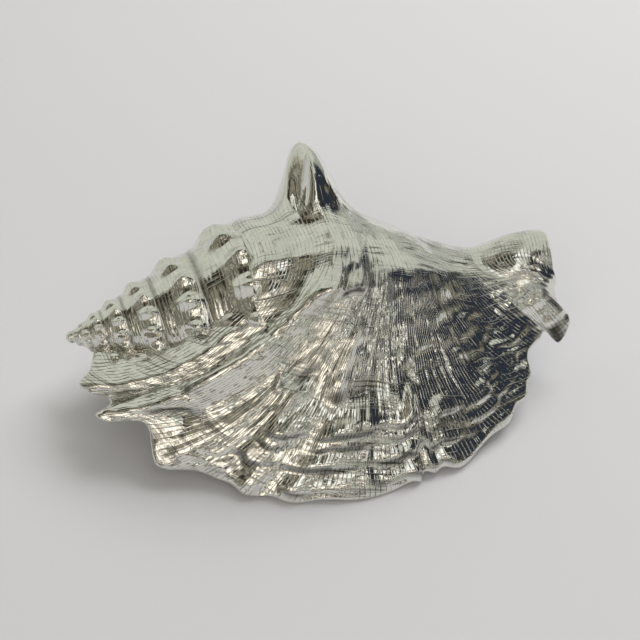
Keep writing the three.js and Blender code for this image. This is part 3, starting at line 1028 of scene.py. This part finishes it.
@dataclass
class SpireAndPillar:
    """The spire, with the pillar that carries it on inside the last whorl."""

    form: ShellForm
    spire_length: float = 62.0
    spire_rows: int = 112
    pillar_rows: int = 16
    columns: int = 240
    cords_per_whorl: int = 12
    cord_height: float = 0.004  # share of the radius
    cord_wear: float = 0.55  # how strongly the cords stand out

    def radius(self, place: Array, angle: Array) -> Array:
        """Radius with the fine spiral cords on the part that shows.

        Args:
            place: distance from the apex.
            angle: degrees round the axis.

        Returns:
            The radii.
        """
        phase = self.form.whorl_phase(place, angle)
        part = past_suture(phase)
        cords = np.cos(2 * np.pi * self.cords_per_whorl * phase)
        shown = fade(3, 10, place) * (1 - fade(-1, 1, place - self.form.last_suture(angle)))
        strength = self.cord_height * shown * (1 - bell(part - self.form.knob_row[0], 0.12))
        return self.form.core_radius(place, angle) * (1 + strength * cords)

    def build(self) -> bpy.types.Object:
        """Builds the closed body, with one point at each end.

        Returns:
            The mesh object.
        """
        spire = self.spire_length * (np.arange(1, self.spire_rows + 1) / self.spire_rows) ** 1.25
        beyond = np.linspace(self.spire_length, self.form.pillar_end - 1, self.pillar_rows + 1)[1:]
        places = np.concatenate([spire, beyond])
        angles = np.linspace(-180, 180, self.columns + 1)
        angle, place = np.meshgrid(angles, places)
        points = self.form.around_axis(place, self.radius(place, angle), angle)
        points[:, -1] = points[:, 0]
        phase = self.form.whorl_phase(place, angle)
        part = past_suture(phase)
        seam = 0.9 * (bell(part, 0.06) + bell(1 - part, 0.06)) * fade(4, 12, place)
        round_mm = np.radians(angle) * self.form.suture_radius(place)
        pairs = {
            Coordinates.BAKE: (0.51 + 0.48 * (angle + 180) / 360, 0.005 + 0.31 * place / places[-1]),
            Coordinates.CORDS: (phase * self.cords_per_whorl, round_mm),
            Coordinates.TARNISH_SHADE_CORDS: (seam, np.full_like(seam, self.cord_wear)),
            Coordinates.BODY: (place, np.ones_like(place)),
        }
        patch = Patch()
        ids = patch.add(points, pairs)
        patch.skin(ids)
        for row, along in ((0, 0.0), (-1, self.form.pillar_end)):
            tip = self.form.around_axis(np.full((1, 1), along), np.zeros((1, 1)), np.zeros((1, 1)))
            at_end = {which: [part[row, :1] for part in pair] for which, pair in pairs.items()}
            end = patch.add(tip, at_end)
            patch.fan(end[0, 0], ids[row] if row == 0 else ids[row][::-1])
        return self.welded(patch.to_object("SpireAndPillar", self.form))

    def welded(self, piece: bpy.types.Object) -> bpy.types.Object:
        """Joins the two edges of the seam, and drops the empty triangles at the ends.

        Args:
            piece: the object to weld.

        Returns:
            The same object.
        """
        mesh = bmesh.new()
        mesh.from_mesh(piece.data)
        bmesh.ops.remove_doubles(mesh, verts=mesh.verts, dist=1e-7)
        mesh.to_mesh(piece.data)
        mesh.free()
        return piece


# ---- Shader graphs ----
class Value:
    """A number socket of a shader graph, with arithmetic that adds Math nodes."""

    def __init__(self, graph: "Graph", socket: bpy.types.NodeSocket) -> None:
        """Wraps a socket of the graph."""
        self.graph = graph
        self.socket = socket

    def math(self, operation: str, *others: "Value | float") -> "Value":
        """Applies a Math node's operation to this value and others."""
        inputs = {index: other for index, other in enumerate((self, *others))}
        return self.graph.node("ShaderNodeMath", {"operation": operation}, inputs)

    def __add__(self, other: "Value | float") -> "Value":
        """This value plus another."""
        return self.math("ADD", other)

    __radd__ = __add__

    def __sub__(self, other: "Value | float") -> "Value":
        """This value less another."""
        return self.math("SUBTRACT", other)

    def __rsub__(self, other: float) -> "Value":
        """A number less this value."""
        return self.math("MULTIPLY_ADD", -1.0, other)

    def __mul__(self, other: "Value | float") -> "Value":
        """This value times another."""
        return self.math("MULTIPLY", other)

    __rmul__ = __mul__

    def clamped(self) -> "Value":
        """This value, kept from 0 to 1."""
        return self.math("MAXIMUM", 0.0).math("MINIMUM", 1.0)

    def fades(self, start: float, end: float) -> "Value":
        """Rises smoothly from 0 where this value is start to 1 where it is end."""
        inputs = {"Value": self, "From Min": start, "From Max": end}
        return self.graph.node("ShaderNodeMapRange", {"interpolation_type": "SMOOTHSTEP"}, inputs)


class Graph:
    """Adds nodes to a shader tree."""

    def __init__(self, tree: bpy.types.NodeTree) -> None:
        """Empties the tree and starts a graph in it."""
        self.tree = tree
        tree.nodes.clear()

    def node(
        self,
        kind: str,
        settings: dict | None = None,
        inputs: dict | None = None,
        output: int | str = 0,
    ) -> Value:
        """Adds one node.

        Args:
            kind: the node's type.
            settings: properties that are set first.
            inputs: for each socket name or number, a value or the Value that feeds it.
            output: which of its outputs to return.

        Returns:
            The chosen output, or an empty Value for a node that has none.
        """
        made = self.tree.nodes.new(kind)
        for name, setting in (settings or {}).items():
            setattr(made, name, setting)
        for key, given in (inputs or {}).items():
            if isinstance(given, Value):
                self.tree.links.new(given.socket, made.inputs[key])
            else:
                made.inputs[key].default_value = given
        return Value(self, made.outputs[output] if made.outputs else None)

    def parts(self, vector: Value, count: int = 3) -> tuple[Value, ...]:
        """The first numbers of a vector."""
        return tuple(self.node("ShaderNodeSeparateXYZ", None, {0: vector}, i) for i in range(count))

    def coordinates(self, which: Coordinates) -> tuple[Value, ...]:
        """The two numbers of a coordinate set."""
        return self.parts(self.node("ShaderNodeUVMap", {"uv_map": which.value}), 2)

    def towards(self, way: tuple[Value, ...], aim: tuple[float, float, float]) -> Value:
        """How nearly a way points along an aim: 1 where it does."""
        x, y, z = (part * number for part, number in zip(way, aim))
        return x + y + z

    def surface(self, inputs: dict) -> None:
        """Adds the surface shader and the material's output."""
        shader = self.node("ShaderNodeBsdfPrincipled", None, inputs)
        self.node("ShaderNodeOutputMaterial", None, {"Surface": shader})

    def vector(self, x: Value | float, y: Value | float, z: Value | float = 0.0) -> Value:
        """A vector from three numbers."""
        return self.node("ShaderNodeCombineXYZ", None, {0: x, 1: y, 2: z})

    def noise(self, place: Value, scale: float, detail: float = 2.0, roughness: float = 0.5) -> Value:
        """Smooth noise, from 0 to 1."""
        inputs = {"Vector": place, "Scale": scale, "Detail": detail, "Roughness": roughness}
        return self.node("ShaderNodeTexNoise", None, inputs)

    def blend(self, share: Value, first: tuple | Value, second: tuple | Value) -> Value:
        """A colour between two colours.

        Args:
            share: 0 gives the first and 1 the second.
            first: a tuple, or the Value of a colour.
            second: the same.

        Returns:
            The colour.
        """
        colours = [c if isinstance(c, Value) else (*c, 1.0) for c in (first, second)]
        inputs = {0: share, 6: colours[0], 7: colours[1]}
        return self.node("ShaderNodeMix", {"data_type": "RGBA"}, inputs, 2)


def new_material(name: str) -> tuple[bpy.types.Material, Graph]:
    """Makes a material with an empty graph.

    Args:
        name: the material's name.

    Returns:
        The material and its graph.
    """
    material = bpy.data.materials.new(name)
    material.use_nodes = True
    return material, Graph(material.node_tree)


@dataclass(frozen=True)
class SilverFinish:
    """Polished silver plate with dark tarnish left in the grooves, and painted shade under the arch and
    the ledge.
    """

    silver: tuple[float, float, float] = (0.82, 0.82, 0.77)
    # the dark colour of tarnish, also used as painted shade under the arch and the ledge
    tarnish_and_shade: tuple[float, float, float] = (0.075, 0.07, 0.058)
    polished: float = 0.05  # roughness of the polished silver
    dull: float = 0.16  # roughness that full darkening adds, from tarnish and painted shade alike
    grainy: float = 0.04  # roughness that the finest grain adds
    hollow_and_shade_dark: float = 0.6  # darkening from tarnish in hollows and from painted shade under the arch and the ledge
    dash_dark: float = 0.8  # tarnish in the dark dashes towards the canal
    bump_metres: float = 0.0002
    ripple_bump: float = 0.4
    streak_bump: float = 2.7  # streaks that run out across the flare

    def make(self) -> bpy.types.Material:
        """Makes the material.

        Returns:
            The material.
        """
        material, graph = new_material("silver")
        place = graph.node("ShaderNodeTexCoord", output="Object")
        drift = graph.noise(place, 60.0, 2.0)
        tarnish_and_shade, groove, growth = self.tarnish_and_shade_marks(graph, place, drift)
        grain = graph.noise(place, 900.0, 3.0)
        relief = self.relief(graph, place, drift) - groove * 0.5 - growth * 0.3 - grain * 0.03
        inputs = {"Strength": 1.0, "Distance": self.bump_metres, "Height": relief}
        inputs = {
            "Base Color": graph.blend(tarnish_and_shade, self.silver, self.tarnish_and_shade),
            "Metallic": 1.0,
            "Roughness": self.polished + tarnish_and_shade * self.dull + grain * self.grainy,
            "Normal": graph.node("ShaderNodeBump", None, inputs),
        }
        graph.surface(inputs)
        return material

    def tarnish_and_shade_marks(self, graph: Graph, place: Value, drift: Value) -> tuple[Value, Value, Value]:
        """Where the silver is dark.

        Args:
            graph: the material's graph.
            place: the place in space.
            drift: slow noise that bends the lines.

        Returns:
            How dark it is, and the share of grooves and of growth lines in that.
        """
        cord, grown = graph.coordinates(Coordinates.CORDS)
        # hollow carries tarnish in low places and painted shade under the arch and the ledge
        hollow, strength = graph.coordinates(Coordinates.TARNISH_SHADE_CORDS)
        along, spread = graph.coordinates(Coordinates.BODY)
        on_body = 1.0 - spread
        # Grooves between the cords, broken up.
        lip_grooves = self.grooves(cord + 1.8 * drift, 0.66) * spread
        body_grooves = self.grooves(along * 0.85 + 1.8 * drift, 0.72) * on_body
        broken = graph.noise(place, 300.0, 3.0, 0.6).fades(0.44, 0.62)
        groove = (lip_grooves + body_grooves) * strength * (0.25 + 0.75 * broken)
        # Growth lines across them, in patches.
        lines = graph.noise(graph.vector(along * 0.05, grown * 1.15, drift), 1.0, 2.0)
        fine = self.grooves(grown * 0.85 + 2.4 * drift, 0.6) * on_body * broken
        patches = graph.noise(place, 75.0, 2.0)
        growth = (lines.fades(0.52, 0.72) + 0.55 * fine).clamped() * strength * patches.fades(0.38, 0.62)
        # Short dashes towards the canal.
        dashes = graph.noise(graph.vector(along * 0.1, grown * 0.8, drift * 2.0), 1.0, 2.0)
        dashes = dashes.fades(0.55, 0.64) * on_body * along.fades(92.0, 104.0) * patches.fades(0.4, 0.6)
        # How much of it the polishing left.
        wear = 0.22 + 0.6 * graph.noise(place, 38.0, 3.0).fades(0.4, 0.66)
        lined = groove * wear + growth * (0.3 + 0.4 * wear)
        # the painted shade under the arch and the ledge comes in through hollow
        tarnish_and_shade = (lined + hollow * self.hollow_and_shade_dark + dashes * self.dash_dark).clamped()
        return tarnish_and_shade, groove, growth

    def relief(self, graph: Graph, place: Value, drift: Value) -> Value:
        """Height of the ripples, and of the streaks on the flare.

        Args:
            graph: the material's graph.
            place: the place in space.
            drift: slow noise that bends the streaks.

        Returns:
            The height, in steps of bump_metres.
        """
        cord, grown = graph.coordinates(Coordinates.CORDS)
        spread = graph.coordinates(Coordinates.BODY)[1]
        ripple = graph.noise(place, 300.0, 3.0, 0.55)
        streaks = graph.noise(graph.vector(cord * 0.3, grown * 0.04, drift), 1.0, 2.0)
        return ripple * self.ripple_bump + streaks * spread * self.streak_bump

    def grooves(self, cord: Value, start: float) -> Value:
        """Lines half way between cords; start is where each begins, from 0 to 1."""
        return (cord.math("PINGPONG", 0.5) * 2.0).fades(start, 0.99)


@dataclass(frozen=True)
class TableFinish:
    """A plain matt table top."""

    colour: tuple[float, float, float] = (0.665, 0.66, 0.69)
    roughness: float = 0.75
    mottling: float = 1.03  # how much paler its pale patches are

    def make(self) -> bpy.types.Material:
        """Makes the material.

        Returns:
            The material.
        """
        material, graph = new_material("table")
        place = graph.node("ShaderNodeTexCoord", output="Object")
        mottle = graph.noise(place, 3.0, 2.0)
        paler = tuple(min(c * self.mottling, 1.0) for c in self.colour)
        colour = graph.blend(mottle, self.colour, paler)
        inputs = {"Base Color": colour, "Roughness": self.roughness, "Specular IOR Level": 0.2}
        graph.surface(inputs)
        return material


# ---- The shell ----
@dataclass
class SilveredConch:
    """The whole shell as one piece."""

    form: ShellForm = field(default_factory=ShellForm)
    finish: SilverFinish = field(default_factory=SilverFinish)
    crease: float = math.radians(55)  # edges sharper than this stay crisp
    block_size: tuple[float, float, float] = (0.5, 0.5, 0.05)  # of the block below the table

    def build(self) -> bpy.types.Object:
        """Builds and dresses the shell, and hands it to the frame.

        Returns:
            The finished object.
        """
        whorl = LastWhorl(self.form).build()
        spire = SpireAndPillar(self.form).build()
        for part in (whorl, spire):
            log.info("%s: %d triangles", part.name, len(part.data.polygons))
        shell = self.joined(whorl, spire, self.table_block())
        self.keep_outer_surface(shell.data)
        shell.data.set_sharp_from_angle(angle=self.crease)
        shell.data.materials.clear()
        shell.data.materials.append(self.finish.make())
        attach(shell, "root")
        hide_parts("shell")
        return shell

    def table_block(self) -> bpy.types.Object:
        """Makes a block below the table, which cuts the flats that the shell rests on.

        Returns:
            The block.
        """
        low = self.form.in_frame(np.array([0.0, 0.0, self.form.rest_trim]))[2]
        mesh = bmesh.new()
        bmesh.ops.create_cube(mesh, size=1.0)
        bmesh.ops.scale(mesh, vec=self.block_size, verts=mesh.verts)
        bmesh.ops.translate(mesh, vec=(0, 0, low - self.block_size[2] / 2), verts=mesh.verts)
        data = bpy.data.meshes.new("TableBlock")
        mesh.to_mesh(data)
        mesh.free()
        return linked(bpy.data.objects.new("TableBlock", data))

    def joined(self, *parts: bpy.types.Object) -> bpy.types.Object:
        """Joins the two bodies into one, and trims them at the table.

        Args:
            parts: the last whorl, the spire with its pillar, and the block that is cut away.

        Returns:
            The new object; the parts are removed.
        """
        whorl, spire, block = parts
        for other, operation in ((spire, "UNION"), (block, "DIFFERENCE")):
            step = whorl.modifiers.new(operation, "BOOLEAN")
            step.operation = operation
            step.solver = "MANIFOLD"
            step.object = other
        graph = bpy.context.evaluated_depsgraph_get()
        mesh = bpy.data.meshes.new_from_object(whorl.evaluated_get(graph))
        mesh.name = "ConchShell"
        for part in parts:
            old = part.data
            bpy.data.objects.remove(part)
            bpy.data.meshes.remove(old)
        return linked(bpy.data.objects.new("ConchShell", mesh))

    def keep_outer_surface(self, data: bpy.types.Mesh) -> None:
        """Deletes small pockets that the joining leaves sealed inside.

        Args:
            data: the mesh, of which only the largest connected part is kept.
        """
        mesh = bmesh.new()
        mesh.from_mesh(data)
        groups, left = [], set(mesh.verts)
        while left:
            front = [left.pop()]
            groups.append(list(front))
            while front:
                near = {edge.other_vert(vert) for vert in front for edge in vert.link_edges} & left
                left -= near
                front = list(near)
                groups[-1] += front
        loose = [vert for group in sorted(groups, key=len)[:-1] for vert in group]
        bmesh.ops.delete(mesh, geom=loose, context="VERTS")
        bmesh.ops.triangulate(mesh, faces=mesh.faces)
        mesh.to_mesh(data)
        mesh.free()


# ---- Studio ----
@dataclass(frozen=True)
class SoftBox:
    """One soft light."""

    name: str
    aim: tuple[float, float, float]  # direction from the shell to the light
    distance: float
    size: tuple[float, float]
    power: float


@dataclass
class Studio:
    """Table top, soft light and camera."""

    azimuth: float = math.radians(-10.5)
    elevation: float = math.radians(40)
    distance: float = 0.6
    lens: float = 101.25
    aim_offset: tuple[float, float, float] = (-0.0009, 0.004, -0.0098)  # from the box's middle
    near_clip: float = 0.01
    table_side: float = 4.0
    table_gap: float = 0.0001  # the table top lies this far below the shell
    warm_way: tuple[float, float, float] = (-0.39, -0.76, 0.52)  # towards the warm panel
    front_way: tuple[float, float, float] = (0.36, -0.72, 0.59)  # towards the white panel
    dark_wall: tuple[float, float, float] = (0.034, 0.03, 0.022)
    blue_wall: tuple[float, float, float] = (0.028, 0.035, 0.05)
    boxes: tuple[SoftBox, ...] = (
        SoftBox("KeyLight", (0.6, 0.5, 0.9), 1.3, (0.8, 0.8), 11.0),
        SoftBox("FrontFill", (-0.25, -0.9, 0.6), 1.5, (0.6, 0.6), 2.0),
    )

    def middle(self) -> Vector:
        """The middle of the CAD shell's box."""
        low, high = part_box("shell")
        return (low + high) / 2

    def build_table(self) -> bpy.types.Object:
        """Builds the table top that the shell stands on.

        Returns:
            The table top.
        """
        half = self.table_side / 2
        corners = [(-half, -half, 0), (half, -half, 0), (half, half, 0), (-half, half, 0)]
        mesh = bpy.data.meshes.new("Table")
        mesh.from_pydata(corners, [], [(0, 1, 2, 3)])
        table = linked(bpy.data.objects.new("Table", mesh))
        table.location.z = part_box("shell")[0].z - self.table_gap
        mesh.materials.append(TableFinish().make())
        return table

    def build_camera(self) -> bpy.types.Object:
        """Builds the camera and makes it the scene's camera.

        Returns:
            The camera.
        """
        data = bpy.data.cameras.new("Camera")
        data.lens = self.lens
        data.clip_start = self.near_clip
        camera = linked(bpy.data.objects.new("Camera", data))
        flat = math.cos(self.elevation)
        across, away = math.sin(self.azimuth) * flat, math.cos(self.azimuth) * flat
        back = Vector((across, -away, math.sin(self.elevation)))
        camera.location = self.middle() + Vector(self.aim_offset) + back * self.distance
        camera.rotation_euler = back.to_track_quat("Z", "Y").to_euler()
        bpy.context.scene.camera = camera
        return camera

    def build_lights(self) -> None:
        """Builds the soft boxes, which reflections don't show."""
        for box in self.boxes:
            data = bpy.data.lights.new(box.name, "AREA")
            data.shape = "RECTANGLE"
            data.size, data.size_y = box.size
            data.energy = box.power
            light = linked(bpy.data.objects.new(box.name, data))
            light.visible_glossy = False
            aim = Vector(box.aim).normalized()
            light.location = self.middle() + aim * box.distance
            light.rotation_euler = aim.to_track_quat("Z", "Y").to_euler()

    def build_world(self) -> None:
        """Builds the room that the silver reflects.

        The backdrop behind and overhead is pale. The rest is dark, bluer to the right, with a few
        softly lit panels in front, low down and to the left, each laid over the ones before it.
        """
        world = bpy.data.worlds.new("Room")
        world.use_nodes = True
        bpy.context.scene.world = world
        graph = Graph(world.node_tree)
        way = graph.node("ShaderNodeTexCoord", output="Generated")
        x, y, z = graph.parts(way)
        level = (x * x + y * y).math("POWER", -0.5)
        right = z.fades(0.52, 0.64) * x.fades(0.1, 0.4)
        corner = x.fades(0.2, 0.6) * (0.28 - z * 0.25)
        behind = ((y + x * 0.1) * level + right * 0.35 - corner).fades(0.28, 0.4)
        behind = behind * (1.0 - z.fades(0.92, 0.97))
        above = z.fades(0.86, 0.93) * x.fades(-0.04, 0.08)
        mottle = graph.noise(way, 3.4, 3.0).fades(0.48, 0.62)
        facing_warm = graph.towards((x, y, z), self.warm_way)
        warm, core = facing_warm.fades(0.86, 0.93), facing_warm.fades(0.975, 0.992)
        facing_front = graph.towards((x, y, z), self.front_way)
        front = facing_front.fades(0.92, 0.97) * z.fades(0.4, 0.5)
        lamp = (y * level * -1.0).fades(0.9, 0.96) * z.fades(0.74, 0.8)
        low = (y * -1.0).fades(0.55, 0.8) * z.fades(0.02, 0.1) * (1.0 - z.fades(0.3, 0.42))
        blue = x.fades(0.4, 0.8) * z.fades(0.1, 0.3)
        glint = graph.noise(way, 8.0, 3.0, 0.6).fades(0.52, 0.58)
        left = (x * -1.0).fades(0.55, 0.85) * (1.0 - z.fades(0.52, 0.66))
        pale = low * x.fades(0.05, 0.18) * (1.0 - x.fades(0.45, 0.6))
        layers = (
            (mottle * (0.5 - 0.5 * blue), (0.5, 0.46, 0.36)),  # mottled walls
            (left * (0.24 + 0.44 * glint), (0.55, 0.53, 0.43)),  # side light on the left
            (low * glint, (0.9, 0.88, 0.82)),  # glints low in front
            (pale * 0.85, (0.52, 0.54, 0.47)),  # the pale patch between them
            (front * (0.08 + 0.92 * glint), (1.5, 1.47, 1.38)),  # white panel
            (warm * (0.12 + 0.88 * glint + core).clamped(), (1.7, 1.56, 1.36)),  # warm panel
            (lamp, (1.2, 1.2, 1.15)),  # strip high in front
        )
        colour = graph.blend(blue, self.dark_wall, self.blue_wall)
        for share, paint in layers:
            colour = graph.blend(share, colour, paint)
        haze = graph.noise(way, 5.0, 4.0, 0.6).fades(0.35, 0.65)
        backdrop = graph.blend(haze, (0.53, 0.545, 0.48), (0.66, 0.67, 0.6))
        dim = x.fades(0.3, 0.6) * (1.0 - z.fades(0.25, 0.42)) * (0.35 + 0.4 * glint)
        backdrop = graph.blend(dim, backdrop, (0.16, 0.17, 0.15))
        colour = graph.blend((behind + above).clamped(), colour, backdrop)
        light = graph.node("ShaderNodeBackground", None, {"Color": colour, "Strength": 1.0})
        graph.node("ShaderNodeOutputWorld", None, {"Surface": light})


def main() -> None:
    """Builds the shell and the studio in order."""
    logging.basicConfig(level=logging.INFO, format="%(message)s")
    bpy.context.scene.view_settings.view_transform = "Standard"
    shell = SilveredConch().build()
    log.info("%s: %d triangles", shell.name, len(shell.data.polygons))
    studio = Studio()
    studio.build_table()
    studio.build_lights()
    studio.build_world()
    camera = studio.build_camera()
    log.info("%s looks from %s", camera.name, tuple(round(c, 3) for c in camera.location))


if __name__ == "__main__":
    main()
